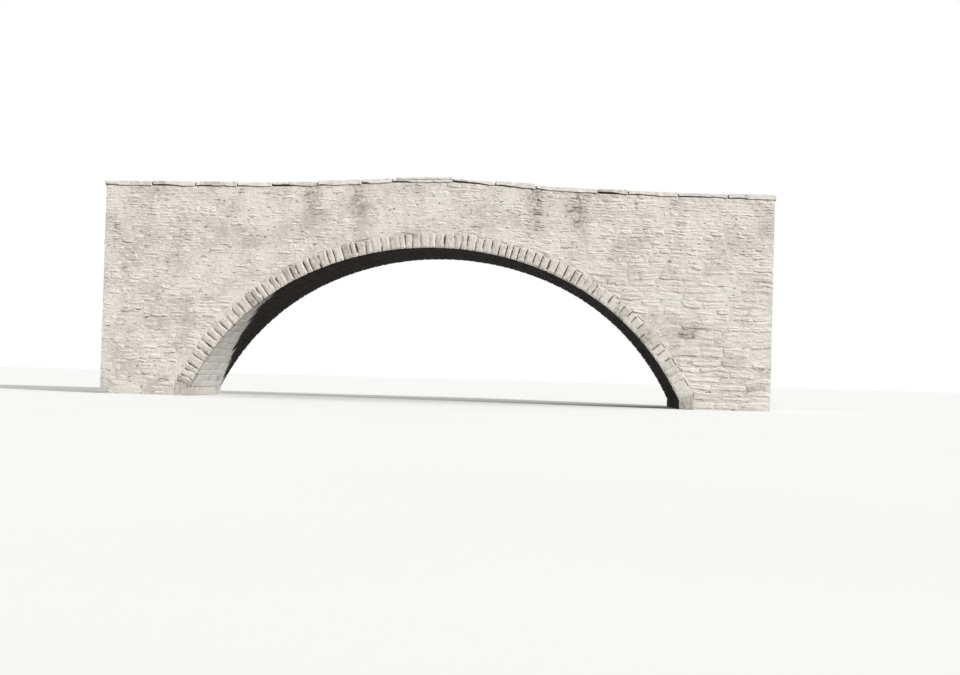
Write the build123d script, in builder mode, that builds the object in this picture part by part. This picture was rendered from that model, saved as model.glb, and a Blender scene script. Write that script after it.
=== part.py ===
from build123d import *
from math import cos, radians, sin
import os

# Stone arch bridge: one span, rubble walls that run up into the parapets, and coping flags on top.
#
# X runs along the bridge, Y across it, and Z up. The origin is on the ground line, under the crown
# of the arch and midway between the two wall faces. The front is the side at -Y, and left and right
# are as seen from the front.

os.makedirs("parts", exist_ok=True)

# Driving dimensions, in millimetres and degrees

bridge_width = 5500
abutment_length = 2611

# The soffit is a three-centred curve: a flatter arc over the crown and a tighter one at each haunch.
crown_radius = 10240
haunch_radius = 8590
crown_half_angle = 24.0
springing_angle = 64.3
springing_height = 300

ring_depth = 530
ring_projection = 15
ring_stone_length = 500

spandrel_thickness = 600
backing_height = 2900
end_wall_thickness = 700

crown_cover = 880
road_thickness = 150
road_bays = 20
hump_drop = 400
hump_half_width = 3500

parapet_thickness = 450
parapet_height = 710
coping_overhang = 65
coping_joint = 15

# Each coping flag from the left end of the front parapet: its share of the length, and its thickness.
coping_flags = [
    (167, 170),
    (150, 180),
    (146, 170),
    (121, 150),
    (156, 160),
    (155, 180),
    (103, 170),
    (210, 190),
    (145, 150),
    (140, 190),
    (212, 160),
    (103, 180),
    (170, 170),
    (170, 160),
    (165, 180),
]

# Places that follow from the driving dimensions

half_width = bridge_width / 2
ring_face = half_width + ring_projection

haunch_shift = (crown_radius - haunch_radius) * sin(radians(crown_half_angle))
haunch_centre = springing_height - haunch_radius * cos(radians(springing_angle))
crown_centre = haunch_centre - (crown_radius - haunch_radius) * cos(radians(crown_half_angle))
crown_height = crown_centre + crown_radius

bed_at_crown = crown_height + ring_depth + crown_cover
above_all = bed_at_crown + road_thickness + 2 * parapet_height

springing_x = haunch_shift + haunch_radius * sin(radians(springing_angle))
ring_foot_x = haunch_shift + (haunch_radius + ring_depth) * sin(radians(springing_angle))
ring_foot_z = haunch_centre + (haunch_radius + ring_depth) * cos(radians(springing_angle))

# The abutments reach this far out from the foot of the ring, and the walls end with them.
half_length = ring_foot_x + abutment_length
bridge_length = 2 * half_length


def hump(x):
    """How far the road and the wall tops lie below their height over the crown."""
    return hump_drop * (1 - 1 / (1 + (x / hump_half_width) ** 2))


def line_over(stations, height):
    """Points of a wall top or road line that is height high at the crown and follows the hump."""
    return [(x, height - hump(x)) for x in stations]


def band(lower, upper):
    """Side view of what lies between a lower and an upper line."""
    with BuildSketch() as view:
        with BuildLine():
            Polyline(*lower, *reversed(upper), close=True)
        make_face()
    return view.sketch


def draw_arch(depth):
    """The three arcs of the arch, depth outside the soffit."""
    haunch_arc = springing_angle - crown_half_angle
    CenterArc((0, crown_centre), crown_radius + depth, 90 - crown_half_angle, 2 * crown_half_angle)
    CenterArc((haunch_shift, haunch_centre), haunch_radius + depth, 90 - springing_angle, haunch_arc)
    CenterArc((-haunch_shift, haunch_centre), haunch_radius + depth, 90 + crown_half_angle, haunch_arc)


def flag_joints(flags):
    """Where the coping joints are along the parapet, with both outer ends."""
    full_length = bridge_length + 2 * coping_overhang
    all_shares = sum(share for share, thickness in flags)
    joints = [-full_length / 2]
    for share, thickness in flags:
        joints.append(joints[-1] + full_length * share / all_shares)
    return joints


def finish(piece, name):
    """Label a piece and write it out."""
    piece.part.label = name
    export_step(piece.part, f"parts/{name}.step")


# Side views that several pieces share

road_stations = [-half_length + bridge_length * bay / road_bays for bay in range(road_bays + 1)]
bed_line = line_over(road_stations, bed_at_crown)
road_line = line_over(road_stations, bed_at_crown + road_thickness)
base_line = [(-half_length, 0), (half_length, 0)]
top_line = [(-half_length, above_all), (half_length, above_all)]

below_bed = band(base_line, bed_line)
above_bed = band(bed_line, top_line)

with BuildSketch() as under_ring:
    with BuildLine():
        draw_arch(ring_depth)
        Polyline((ring_foot_x, ring_foot_z), (ring_foot_x, 0), (-ring_foot_x, 0), (-ring_foot_x, ring_foot_z))
    make_face()

with BuildSketch() as ring_view:
    with BuildLine():
        draw_arch(0)
        draw_arch(ring_depth)
        Line((springing_x, springing_height), (ring_foot_x, ring_foot_z))
        Line((-springing_x, springing_height), (-ring_foot_x, ring_foot_z))
    make_face()

# Skewbacks: the low courses with a sloping bed that the arch springs from

with BuildPart() as right_skewback:
    with BuildSketch(Plane.XZ):
        with BuildLine():
            Polyline(
                (springing_x, 0),
                (springing_x, springing_height),
                (ring_foot_x, ring_foot_z),
                (ring_foot_x, 0),
                close=True,
            )
        make_face()
    extrude(amount=ring_face, both=True)
finish(right_skewback, "right_skewback")

with BuildPart() as left_skewback:
    mirror(right_skewback.part, about=Plane.YZ)
finish(left_skewback, "left_skewback")

# Arch rings: the dressed stones that show on each face

with BuildPart() as front_arch_ring:
    with BuildSketch(Plane.XZ.offset(ring_face - ring_stone_length)):
        add(ring_view.sketch)
    extrude(amount=ring_stone_length)
finish(front_arch_ring, "front_arch_ring")

with BuildPart() as back_arch_ring:
    mirror(front_arch_ring.part, about=Plane.XZ)
finish(back_arch_ring, "back_arch_ring")

# Barrel vault: the arch between the two rings

with BuildPart() as barrel_vault:
    with BuildSketch(Plane.XZ):
        add(ring_view.sketch)
    extrude(amount=ring_face - ring_stone_length, both=True)
finish(barrel_vault, "barrel_vault")

# Abutments: solid masonry behind each haunch, with an end wall up to the road bed

inner_half_width = half_width - spandrel_thickness
fill_half_length = half_length - end_wall_thickness

with BuildPart() as right_abutment:
    with BuildSketch(Plane.XZ):
        add(below_bed)
        with Locations((-half_length, 0)):
            Rectangle(half_length, above_all, align=(Align.MIN, Align.MIN), mode=Mode.SUBTRACT)
        with Locations((0, backing_height)):
            Rectangle(fill_half_length, above_all, align=(Align.MIN, Align.MIN), mode=Mode.SUBTRACT)
        add(under_ring.sketch, mode=Mode.SUBTRACT)
    extrude(amount=inner_half_width, both=True)
finish(right_abutment, "right_abutment")

with BuildPart() as left_abutment:
    mirror(right_abutment.part, about=Plane.YZ)
finish(left_abutment, "left_abutment")

# Fill: the earth and rubble between the walls, from the backing up to the road bed

with BuildPart() as road_fill:
    with BuildSketch(Plane.XZ):
        with Locations((0, backing_height)):
            Rectangle(2 * fill_half_length, above_all, align=(Align.CENTER, Align.MIN))
        add(below_bed, mode=Mode.INTERSECT)
        add(under_ring.sketch, mode=Mode.SUBTRACT)
    extrude(amount=inner_half_width, both=True)
finish(road_fill, "road_fill")

# Spandrel walls: the face masonry beside and over the arch, in halves that meet over the crown

with BuildPart() as front_right_spandrel:
    with BuildSketch(Plane.XZ.offset(inner_half_width)):
        add(below_bed)
        with Locations((-half_length, 0)):
            Rectangle(half_length, above_all, align=(Align.MIN, Align.MIN), mode=Mode.SUBTRACT)
        add(under_ring.sketch, mode=Mode.SUBTRACT)
    extrude(amount=spandrel_thickness)
finish(front_right_spandrel, "front_right_spandrel")

with BuildPart() as front_left_spandrel:
    mirror(front_right_spandrel.part, about=Plane.YZ)
finish(front_left_spandrel, "front_left_spandrel")

with BuildPart() as back_right_spandrel:
    mirror(front_right_spandrel.part, about=Plane.XZ)
finish(back_right_spandrel, "back_right_spandrel")

with BuildPart() as back_left_spandrel:
    mirror(front_left_spandrel.part, about=Plane.XZ)
finish(back_left_spandrel, "back_left_spandrel")

# Roadway: the packed surface between the parapets

parapet_inner_face = half_width - parapet_thickness

with BuildPart() as roadway:
    with BuildSketch(Plane.XZ):
        add(band(bed_line, road_line))
    extrude(amount=parapet_inner_face, both=True)
finish(roadway, "roadway")

# Parapets and their coping flags, with the back parapet's flags in the other order

parapet_top = bed_at_crown + road_thickness + parapet_height
coping_width = parapet_thickness + 2 * coping_overhang

for side, across, flags in [("front", -1, coping_flags), ("back", 1, coping_flags[::-1])]:
    joints = flag_joints(flags)
    seat_line = line_over(joints, parapet_top)
    above_coping = [(joints[0], above_all), (joints[-1], above_all)]
    parapet_centre = across * (half_width - parapet_thickness / 2)

    with BuildPart() as parapet:
        with BuildSketch(Plane.XZ.offset(-parapet_centre)):
            add(above_bed)
            add(band(seat_line, above_coping), mode=Mode.SUBTRACT)
        extrude(amount=parapet_thickness / 2, both=True)
    finish(parapet, f"{side}_parapet")

    for number, (start, end) in enumerate(zip(seat_line, seat_line[1:])):
        left_end = Vector(start[0], parapet_centre, start[1])
        right_end = Vector(end[0], parapet_centre, end[1])
        along = right_end - left_end
        seat = Plane(origin=(left_end + right_end) / 2, x_dir=along, z_dir=along.cross(Vector(0, 1, 0)))
        with BuildPart(seat) as flag:
            Box(
                along.length - coping_joint,
                coping_width,
                flags[number][1],
                align=(Align.CENTER, Align.CENTER, Align.MIN),
            )
        finish(flag, f"{side}_coping_flag_{number + 1:02d}")
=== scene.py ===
# %% [markdown]
# # A stone arch bridge, laid stone by stone
#
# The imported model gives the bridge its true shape: the vault, the walls, the road and the flags on
# the parapets. This script dresses that shape the way masons did. Rubble stones go on the walls, long
# wedge stones go into the arch ring, and rough flags lie on top. A layout rule in Python says where
# each stone lies, and one Geometry Nodes tree turns every place into a stone.

# %% Load the frame
import random
from math import atan2, cos, hypot, pi, radians, sin

import bmesh
import bpy
import numpy as np
from mathutils import Matrix, Vector, noise


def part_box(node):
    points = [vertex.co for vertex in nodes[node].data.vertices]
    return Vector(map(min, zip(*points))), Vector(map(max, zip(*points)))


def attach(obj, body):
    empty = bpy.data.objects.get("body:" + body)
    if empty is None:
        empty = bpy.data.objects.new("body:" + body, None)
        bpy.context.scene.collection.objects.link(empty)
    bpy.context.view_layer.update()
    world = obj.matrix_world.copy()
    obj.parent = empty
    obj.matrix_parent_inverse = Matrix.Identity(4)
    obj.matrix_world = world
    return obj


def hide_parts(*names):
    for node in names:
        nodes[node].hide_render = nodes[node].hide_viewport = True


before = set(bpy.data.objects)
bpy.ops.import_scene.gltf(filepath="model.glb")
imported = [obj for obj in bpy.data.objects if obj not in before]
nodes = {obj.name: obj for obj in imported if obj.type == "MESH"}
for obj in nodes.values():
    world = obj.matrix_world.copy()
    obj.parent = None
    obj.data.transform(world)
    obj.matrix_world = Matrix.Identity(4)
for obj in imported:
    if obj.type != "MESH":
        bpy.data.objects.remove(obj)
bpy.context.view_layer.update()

# %% [markdown]
# The arch is a three-centred curve, as many old bridges are: a flat arc over the crown and a tighter
# arc at each haunch. A box around a node can't tell a radius, so these few sizes are written again
# here, in metres, and everything else is read from the frame.

# %% The arch curve
crown_radius = 10.24
haunch_radius = 8.59
crown_half_angle = radians(24.0)
springing_angle = radians(64.3)
ring_depth = 0.53

soffit_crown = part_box("front_arch_ring")[1][2] - ring_depth
haunch_shift = (crown_radius - haunch_radius) * sin(crown_half_angle)
crown_centre = soffit_crown - crown_radius
haunch_centre = crown_centre + (crown_radius - haunch_radius) * cos(crown_half_angle)


def arch_centre(angle):
    """Centre (x, z) and soffit radius of the arc that a direction from the vertical falls on."""
    if abs(angle) <= crown_half_angle:
        return 0.0, crown_centre, crown_radius
    side = 1 if angle > 0 else -1
    return side * haunch_shift, haunch_centre, haunch_radius


def arch_point(angle, depth):
    """Point (x, z) that lies depth outside the soffit, in a direction from the vertical."""
    x, z, radius = arch_centre(angle)
    return x + (radius + depth) * sin(angle), z + (radius + depth) * cos(angle)


def arch_angle(x, z):
    """The direction from the vertical in which a point lies, seen from its own arc's centre."""
    angle = atan2(x, z - crown_centre)
    if abs(angle) > crown_half_angle:
        side = 1 if angle > 0 else -1
        angle = atan2(x - side * haunch_shift, z - haunch_centre)
    return angle


springing = arch_point(springing_angle, 0)
print("soffit crown", round(soffit_crown, 3), "springing", [round(value, 3) for value in springing])

# %% [markdown]
# ## The camera
#
# The photograph was taken from low down and a little to the right of the arch, with a lens of normal
# length and the plate turned a little. The place of the camera is counted from the crown of the
# soffit on the front face, because that point is easy to find in the picture.

# %% Camera
camera_from_crown = Vector((3.892, -54.679, -4.385))
camera_turn = radians(-2.416)
camera_tilt = radians(1.403)
camera_roll = radians(1.57)
camera_lens = 60.0

ring_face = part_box("front_arch_ring")[0][1]
camera = bpy.data.objects.new("camera", bpy.data.cameras.new("camera"))
bpy.context.scene.collection.objects.link(camera)
camera.location = Vector((0, ring_face, soffit_crown)) + camera_from_crown
turn = Matrix.Rotation(-camera_turn, 3, "Z") @ Matrix.Rotation(pi / 2 + camera_tilt, 3, "X")
camera.rotation_euler = (turn @ Matrix.Rotation(camera_roll, 3, "Z")).to_euler()
camera.data.lens = camera_lens
camera.data.clip_end = 500
bpy.context.scene.camera = camera
print("camera at", [round(value, 2) for value in camera.location])

# %% [markdown]
# ## Shader maths in plain Python
#
# A material is a graph of nodes, and a formula drawn as a graph is hard to read. So one small class
# holds a socket and gives it Python's operators: each sum or product adds its Math node. A second
# class makes every other node, from its type, its settings and what goes into its sockets.


# %% Sockets that can stand in a formula
class Value:
    """A number socket of a node tree, for use in a formula."""

    def __init__(self, tree, socket):
        self.tree = tree
        self.socket = socket

    def maths(self, operation, *others):
        return self.tree.node("ShaderNodeMath", {"operation": operation}, dict(enumerate((self, *others))))

    def __add__(self, other):
        return self.maths("ADD", other)

    def __sub__(self, other):
        return self.maths("SUBTRACT", other)

    def __rsub__(self, other):
        return self.maths("MULTIPLY_ADD", -1.0, other)

    def __mul__(self, other):
        return self.maths("MULTIPLY", other)

    def __rtruediv__(self, other):
        return self.tree.node("ShaderNodeMath", {"operation": "DIVIDE"}, {0: other, 1: self})

    __radd__ = __add__
    __rmul__ = __mul__

    def sibling(self, output):
        """Another output of the node that this one comes from."""
        return Value(self.tree, self.socket.node.outputs[output])

    def larger(self, other):
        return self.maths("MAXIMUM", other)

    def smaller(self, other):
        return self.maths("MINIMUM", other)

    def size(self):
        return self.maths("ABSOLUTE")

    def smooth(self, low, high):
        """0 below low, 1 above high, and a soft step between."""
        settings = {"interpolation_type": "SMOOTHSTEP"}
        return self.tree.node("ShaderNodeMapRange", settings, {0: self, 1: low, 2: high})


class Tree:
    """A node tree that is filled by method calls."""

    def __init__(self, tree):
        self.tree = tree

    def node(self, kind, settings=None, sockets=None, output=0):
        """Make a node, set it up, feed its sockets, and return one of its outputs."""
        node = self.tree.nodes.new(kind)
        for name, setting in (settings or {}).items():
            setattr(node, name, setting)
        for name, value in (sockets or {}).items():
            self.feed(node.inputs[name], value)
        return Value(self, node.outputs[output])

    def feed(self, socket, value):
        if isinstance(value, Value):
            self.tree.links.new(value.socket, socket)
        else:
            socket.default_value = value

    def ramp(self, factor, stops):
        """A colour ramp through (place, colour) stops."""
        node = self.tree.nodes.new("ShaderNodeValToRGB")
        elements = node.color_ramp.elements
        while len(elements) < len(stops):
            elements.new(0.5)
        for element, (place, colour) in zip(elements, stops):
            element.position = place
            element.color = colour
        self.feed(node.inputs[0], factor)
        return Value(self, node.outputs[0])


class Material(Tree):
    """A new material with one Principled shader, and short calls for the usual patterns."""

    def __init__(self, name):
        self.material = bpy.data.materials.new(name)
        self.material.use_nodes = True
        super().__init__(self.material.node_tree)
        self.shader = self.tree.nodes["Principled BSDF"]
        self.place = self.node("ShaderNodeTexCoord", output="Object")

    def stretched(self, across, along, up):
        """The object's own coordinates, scaled along each axis."""
        return self.node("ShaderNodeMapping", {}, {"Vector": self.place, "Scale": (across, along, up)})

    def noise(self, size, detail=4.0, place=None, roughness=0.55):
        """Cloudy noise from 0 to 1 whose blobs are about size metres wide."""
        sockets = {"Scale": 1 / size, "Detail": detail, "Roughness": roughness}
        return self.node("ShaderNodeTexNoise", {}, {"Vector": place or self.place, **sockets})

    def cells(self, size, output="Distance"):
        """Cell pattern whose cells are about size metres wide."""
        return self.node("ShaderNodeTexVoronoi", {}, {"Vector": self.place, "Scale": 1 / size}, output)

    def attribute(self, name):
        return self.node("ShaderNodeAttribute", {"attribute_name": name}, output="Fac")

    def coordinate(self, axis):
        """One of the object's own coordinates: 0, 1 or 2 for X, Y or Z."""
        return self.node("ShaderNodeSeparateXYZ", {}, {0: self.place}, output=axis)

    def blend(self, factor, under, over):
        """One colour over another."""
        return self.node("ShaderNodeMix", {"data_type": "RGBA"}, {0: factor, 6: under, 7: over}, output=2)

    def finish(self, colour, roughness, height, depth):
        """Feed the shader: a colour, a roughness, and a height in units of depth metres."""
        self.feed(self.shader.inputs["Base Color"], colour)
        self.feed(self.shader.inputs["Roughness"], roughness)
        self.shader.inputs["Specular IOR Level"].default_value = 0.1
        normal = self.node("ShaderNodeBump", {}, {"Height": height, "Distance": depth, "Strength": 1.0})
        self.feed(self.shader.inputs["Normal"], normal)
        return self.material


def colour(red, green, blue):
    """A colour given as a screen shows it, 0 to 255, in the linear values that shaders use."""
    return tuple((value / 255) ** 2.2 for value in (red, green, blue)) + (1.0,)


# %% [markdown]
# ## The stone finishes
#
# The bridge is pale limestone, bleached by the sun. Weather works on it in three sizes: whole stones
# differ a little in tone, clouds of lichen cross several of them, and damp hangs down the walls in a
# few columns where water leaks between the flags. Close up, the face is split along its thin beds, and
# patches of it are pitted. The layout writes each stone's own tone as an attribute. The ring and the
# skewbacks turn a corner into the vault, and behind it they take the vault's near-black colour, which
# is painted shade.

# %% Damp columns
damp_places = (-4.25, -2.75, 3.35, 4.85)
damp_half_widths = (0.1, 0.5)
damp_reaches = (2.4, 0.8)
damp_wave = 0.6
damp_drift = 0.9
damp_slant = 0.3
damp_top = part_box("front_parapet")[1][2]


def damp_columns(material):
    """1 in the middle of a damp column just under the flags, and 0 away from it."""
    behind_front = material.coordinate(1) - ring_face
    drift = (material.noise(damp_wave) - 0.5) * damp_drift
    across = material.coordinate(0) + drift + behind_front * damp_slant
    nearest = (across - damp_places[0]).size()
    for place in damp_places[1:]:
        nearest = nearest.smaller((across - place).size())
    beside = 1.0 - nearest.smooth(*damp_half_widths)
    return beside * material.coordinate(2).smooth(*(damp_top - reach for reach in damp_reaches))


# %% [markdown]
# The vault is painted nearly black, and that colour is painted shade: its stone is as pale as the
# walls. Only at its left foot does the sun get in past the front face, and there the painted shade is
# left off, so the stone shows pale. The edge of that sunlit patch climbs highest beside the face and
# reaches lower the further back it falls.

# %% Sunlit foot of the vault
sunlit_top = 3.85
sunlit_fall = 0.58
sunlit_wave = 0.4
sunlit_raggedness = 1.1
sunlit_edge = 0.35
sunlit_from_middle = (3.5, 4.5)


def sunlit_foot(material):
    """1 where sunlight falls on the vault's left foot and its painted shade is left off, 0 elsewhere."""
    behind_front = material.coordinate(1) - ring_face
    ragged = (material.noise(sunlit_wave) - 0.5) * sunlit_raggedness
    below_line = sunlit_top - behind_front * sunlit_fall - material.coordinate(2) + ragged
    return below_line.smooth(0.0, sunlit_edge) * (0.0 - material.coordinate(0)).smooth(*sunlit_from_middle)


# %% Weathered limestone
cloud_size = 0.8
mottle_size = 0.12
grain_size = 0.03
bed_size = 0.22
split_size = 0.3
pit_size = 0.035
pitted_patch_size = 0.25
vault_turn = (0.06, 0.02)


def behind_faces(material, full, least):
    """1 from full metres behind the ring's two faces inwards, and 0 up to least metres behind them."""
    return 1.0 - material.coordinate(1).size().smooth(abs(ring_face) - full, abs(ring_face) - least)


def limestone(name, pale, dark, damp, depth, bedding=6.0, vault=None, leaks=False):
    """Limestone from damp over dark to pale, which inside the vault takes on the vault's painted shade."""
    stone = Material(name)
    bed_place = stone.stretched(1.0, 1.0, bedding)
    cloud = stone.noise(cloud_size)
    mottle = stone.noise(mottle_size, detail=6.0, roughness=0.7)
    grain = stone.noise(grain_size, detail=3.0)
    beds = stone.noise(bed_size, place=bed_place)
    splits = stone.noise(split_size, detail=2.0, place=bed_place).smooth(0.45, 0.56)
    lichen = mottle.smooth(0.56, 0.7) * cloud.smooth(0.44, 0.6)
    # Each weight says how much that kind of weather counts, and the last number centres the sum.
    level = stone.attribute("tone") * 0.5 + cloud * 0.75 + mottle * 1.1 + beds * 0.3 + grain * 0.4
    level = level - lichen * 0.25 - 0.945
    if leaks:
        level = level - damp_columns(stone) * mottle.smooth(0.42, 0.58) * 0.75
    base = stone.ramp(level, [(0.0, damp), (0.3, dark), (0.75, pale)])
    # Inside the vault the near-black tones are painted shade, left off where sunlight falls on its foot.
    if vault:
        vault_shade_mask = behind_faces(stone, *vault_turn) * (1.0 - sunlit_foot(stone))
        base = stone.blend(vault_shade_mask, base, stone.ramp(level, vault))

    pitted = 1.0 - stone.cells(pit_size).smooth(0.05, 0.3)
    pitted = pitted * stone.noise(pitted_patch_size, detail=2.0).smooth(0.52, 0.66)
    height = beds * 0.4 + splits * 0.2 + mottle * 0.95 + grain * 0.2 - pitted * 0.2
    return stone.finish(base, 0.86 + grain * 0.1, height, depth)


pale = colour(245, 241, 233)
damp_stone = colour(138, 133, 123)
# The vault's tones are painted shade: nearly black, though its stone is as pale as the walls.
vault_shade_tones = [(0.0, colour(35, 33, 30)), (0.3, colour(46, 43, 40)), (0.75, colour(61, 58, 54))]
dressed_tones = (colour(232, 227, 217), colour(168, 161, 149), colour(116, 110, 101))
rubble_stone = limestone("rubble_limestone", pale, colour(205, 199, 188), damp_stone, 0.024, leaks=True)
dressed_stone = limestone("dressed_limestone", *dressed_tones, 0.026, bedding=0.4, vault=vault_shade_tones)
coping_stone = limestone("coping_limestone", pale, colour(186, 179, 168), colour(120, 115, 107), 0.02)
# Paler than the walls where sunlight falls on the vault's foot: painted light, as the sun only grazes it.
sunlit_soffit_tones = (colour(252, 249, 243), colour(222, 216, 206), damp_stone)
soffit_stone = limestone("soffit_limestone", *sunlit_soffit_tones, 0.012, bedding=1.0, vault=vault_shade_tones)

# %% [markdown]
# Lime mortar fills the joints. Where it is sound it lies level with the stones and is as pale as they
# are, and the same clouds of weather cross both. It was thrown on and pressed in by hand, so its face
# is lumpy, with sand grains and small holes. Here and there a flat pocket has fallen out of a bed, and
# its dark colour is painted shade in the hollow. Soot and moss hold on in joints that have lost their
# mortar, so what lies deep behind the wall is darker, from that soot and from painted shade.


# %% Mortar
sand_size = 0.012
lump_size = 0.11
hole_size = 0.03
pocket_size = 0.26
pocket_flatness = 5.0
soot_and_shade_turn = (0.045, 0.02)
# A fallen-out pocket is painted dark, as shade in its hollow.
pocket_shade = colour(84, 79, 72)
lime, old_lime = colour(242, 238, 230), colour(204, 198, 188)


def mortar_finish(name, pale, dark, leaks=False, deep=None, sunlit_tone=None):
    """Lumpy mortar. Deep is its soot and painted shade far behind the faces, sunlit_tone its tone in the
    sunlit foot.
    """
    mortar = Material(name)
    sand = mortar.noise(sand_size, detail=2.0)
    lumps = mortar.noise(lump_size, detail=5.0, roughness=0.65)
    cloud = mortar.noise(cloud_size)
    pocket_place = mortar.stretched(1.0, 1.0, pocket_flatness)
    pocket = mortar.noise(pocket_size, detail=3.0, place=pocket_place).smooth(0.65, 0.69)
    base = mortar.blend((cloud * 0.5 + lumps * 0.45 + sand * 0.05).smooth(0.36, 0.6), dark, pale)
    if leaks:
        base = mortar.blend(damp_columns(mortar) * lumps.smooth(0.42, 0.58) * 0.7, base, damp_stone)
    # Far behind the faces the mortar darkens: soot in open joints, and painted shade in the recess.
    if deep:
        base = mortar.blend(behind_faces(mortar, *soot_and_shade_turn), base, deep)
    # Fallen-out pockets: painted shade in the hollow.
    base = mortar.blend(pocket * 0.75, base, pocket_shade)
    # Where sunlight falls on the vault's left foot, pale lime takes the place of the painted shade.
    if sunlit_tone:
        base = mortar.blend(sunlit_foot(mortar), base, mortar.blend(lumps.smooth(0.36, 0.6), old_lime, sunlit_tone))
    holes = mortar.cells(hole_size).smooth(0.0, 0.3)
    return mortar.finish(base, 0.95, lumps + sand * 0.12 + holes * 0.15 - pocket * 0.8, 0.024)


wall_mortar = mortar_finish("wall_mortar", lime, old_lime, leaks=True)
# The ring's mortar darkens far behind its faces, from soot and from painted shade.
ring_mortar = mortar_finish("ring_mortar", lime, old_lime, deep=colour(126, 120, 110))
# The vault's mortar is painted nearly black as shade, and pale where sunlight falls on its left foot.
soffit_mortar = mortar_finish("soffit_mortar", colour(54, 51, 47), colour(39, 37, 34), sunlit_tone=lime)
print("finishes", [material.name for material in bpy.data.materials])

# %% [markdown]
# ## From places to stones
#
# A rubble wall is not a grid. Masons worked in lifts of a few hand heights, filled each lift with
# panels, each panel with thin courses, and each course with stones of whatever length came to hand.
# The layout follows that habit with one function that cuts a run into uneven lengths. The stones of a
# course are not of one height either, and mortar makes up the rest.


# %% Laying out rubble
def cut_run(start, end, sizes, draw):
    """Cut a run into random lengths between two sizes."""
    low, high = sizes
    cuts = [start]
    while end - cuts[-1] > high:
        cuts.append(cuts[-1] + draw.uniform(low, high))
    if end - cuts[-1] < low and len(cuts) > 1:
        cuts.pop()
    return cuts + [end]


def steps(cuts):
    return list(zip(cuts, cuts[1:]))


lift_sizes = (0.2, 0.46)
fine_panels = (0.6, 2.0)
coarse_panels = (1.2, 4.0)
fine_courses = (0.075, 0.19)
coarse_courses = (0.17, 0.31)
short_stones = (0.13, 0.48)
long_stones = (0.5, 1.5)
joint_lean = 0.026
bed_slack = 0.18


def between(small, large, share):
    """A pair of sizes that lies a share of the way from one pair to another."""
    return tuple(a + (b - a) * share for a, b in zip(small, large))


def rubble_places(left, right, bottom, top, draw, coarseness=lambda across, up: 0.0):
    """Four-cornered places for the stones of a rubble face, as lists of (across, up) corners."""
    places = []
    for low, high in steps(cut_run(bottom, top, lift_sizes, draw)):
        panel_sizes = between(fine_panels, coarse_panels, coarseness(right, (low + high) / 2))
        for start, end in steps(cut_run(left, right, panel_sizes, draw)):
            share = coarseness((start + end) / 2, (low + high) / 2)
            course_sizes = between(fine_courses, coarse_courses, share)
            stone_sizes = between(short_stones, long_stones, share)
            for below, above in steps(cut_run(low, high, course_sizes, draw)):
                joints = cut_run(start, end, stone_sizes, draw)
                leans = [0.0] + [draw.uniform(-joint_lean, joint_lean) for _ in joints[2:]] + [0.0]
                for (near, near_lean), (far, far_lean) in steps(list(zip(joints, leans))):
                    slack = [(above - below) * draw.uniform(0, bed_slack) for _ in range(4)]
                    corners = [
                        (near - near_lean, below + slack[0]),
                        (far - far_lean, below + slack[1]),
                        (far + far_lean, above - slack[2]),
                        (near + near_lean, above - slack[3]),
                    ]
                    places.append(corners)
    return places


# %% [markdown]
# A quarried stone has no sharp corners and no straight edges. Each place is worn inwards only, so
# that two neighbours never touch: corners are knocked off, and each edge is broken into short runs.


# %% Worn outlines
chip_spread = (0.5, 1.3)
largest_chip = 0.3
shortest_edge = 0.0001


def worn(corners, draw, chip=0.044, wander=0.016, spacing=0.105):
    """The outline of a stone that has lost its corners, as an anticlockwise array of points."""
    points = np.array(corners)
    outline = []
    for here, there in zip(points, np.roll(points, -1, axis=0)):
        edge = there - here
        length = hypot(*edge)
        if length < shortest_edge:
            continue
        along = edge / length
        inward = np.array((-along[1], along[0]))
        cut = min(chip * draw.uniform(*chip_spread), length * largest_chip)
        runs = max(1, round((length - 2 * cut) / spacing))
        for step in range(runs + 1):
            reach = cut + (length - 2 * cut) * step / runs
            depth = draw.uniform(0, wander if 0 < step < runs else min(wander, cut / 2))
            outline.append(here + along * reach + inward * depth)
    return np.array(outline)


def trimmed(outline, point, keep):
    """The part of an outline that lies on the side of a point that keep points to."""
    depths = (outline - np.array(point)) @ np.array(keep)
    if depths.min() >= 0:
        return outline
    kept = []
    for k in range(len(outline)):
        here, there = outline[k], outline[(k + 1) % len(outline)]
        here_in, there_in = depths[k], depths[(k + 1) % len(outline)]
        if here_in >= 0:
            kept.append(here)
        if (here_in >= 0) != (there_in >= 0):
            kept.append(here + (there - here) * here_in / (here_in - there_in))
    return np.array(kept).reshape(-1, 2)


def area(outline):
    x, y = outline[:, 0], outline[:, 1]
    return 0.5 * abs(np.dot(x, np.roll(y, -1)) - np.dot(y, np.roll(x, -1)))


# %% [markdown]
# The places become one flat mesh whose faces are the outlines. Each corner carries three facts for
# the node tree: which way is out of the wall, which way is into the stone's middle, and how far the
# stone rises there. A stone's rise leans a little, as no mason sets each face quite true. In a wall
# the upright joints are tighter than the beds, so there the way into the middle is shortened along
# the course.


# %% A sheet of places
smallest_stone = 0.0015
full_inset_width = 0.04
shortest_side = 0.000001
sharpest_turn = 0.8
trial_step = 0.01


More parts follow.
